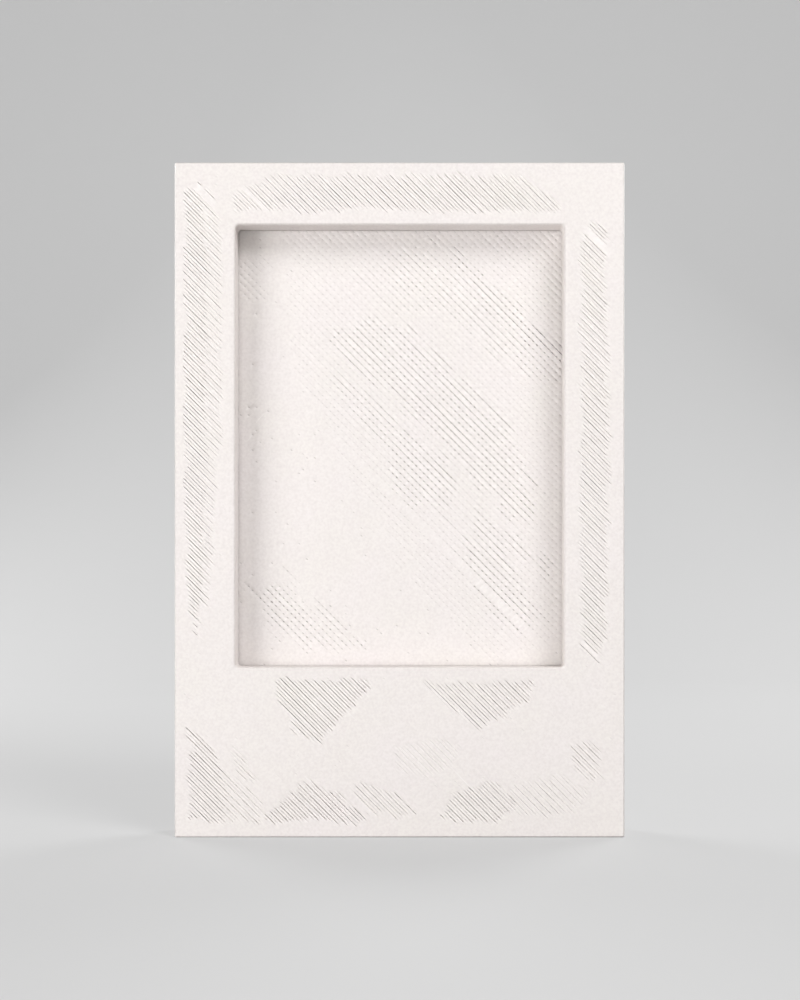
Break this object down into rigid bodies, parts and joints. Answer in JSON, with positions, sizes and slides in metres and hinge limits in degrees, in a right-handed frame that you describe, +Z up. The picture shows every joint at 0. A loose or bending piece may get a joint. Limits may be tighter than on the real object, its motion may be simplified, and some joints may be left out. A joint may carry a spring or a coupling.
{
  "type": "picture frame",
  "caption": "Small upright picture frame for an instant photo card, with an off-centre window, a drop-in back panel held by turn buttons and a folding easel leg.",
  "frame": {"origin": "middle of the front frame's lower edge, on which it stands: halfway across its width and halfway through its depth", "axes": "+Z up the frame, +X to the right seen from the front, +Y from the face to the back, so the face looks along -Y"},
  "size_m": [0.064, 0.0123, 0.096],
  "materials": {
    "printed_front": "matt warm white, first layer of a print, with diagonal nozzle lines",
    "printed_panel": "matt warm white print with diagonal nozzle lines",
    "printed_fittings": "matt warm white print with fine layer lines",
    "filament_pin": "smooth white filament, ends melted to heads",
    "screw_steel": "zinc plated"
  },
  "bodies": {
    "frame": {"front_frame": "printed_front", "back_panel": "printed_panel", "hinge_pin": "filament_pin", "turn_button_screw_left_lower": "screw_steel", "turn_button_screw_left_upper": "screw_steel", "turn_button_screw_right_lower": "screw_steel", "turn_button_screw_right_upper": "screw_steel"},
    "leg": {"easel_leg": "printed_fittings"},
    "button_left_lower": {"turn_button_left_lower": "printed_fittings"},
    "button_left_upper": {"turn_button_left_upper": "printed_fittings"},
    "button_right_lower": {"turn_button_right_lower": "printed_fittings"},
    "button_right_upper": {"turn_button_right_upper": "printed_fittings"}
  },
  "joints": [
    {"name": "leg_hinge", "type": "hinge", "parent": "frame", "child": "leg", "pos_m": [0, 0.00628, 0.0625], "axis": [1, 0, 0], "range_deg": [0, 30]},
    {"name": "button_left_lower_turn", "type": "hinge", "parent": "frame", "child": "button_left_lower", "pos_m": [-0.03015, 0.0035, 0.02], "axis": [0, 1, 0], "continuous": true},
    {"name": "button_left_upper_turn", "type": "hinge", "parent": "frame", "child": "button_left_upper", "pos_m": [-0.03015, 0.0035, 0.076], "axis": [0, 1, 0], "continuous": true},
    {"name": "button_right_lower_turn", "type": "hinge", "parent": "frame", "child": "button_right_lower", "pos_m": [0.03015, 0.0035, 0.02], "axis": [0, 1, 0], "continuous": true},
    {"name": "button_right_upper_turn", "type": "hinge", "parent": "frame", "child": "button_right_upper", "pos_m": [0.03015, 0.0035, 0.076], "axis": [0, 1, 0], "continuous": true}
  ]
}
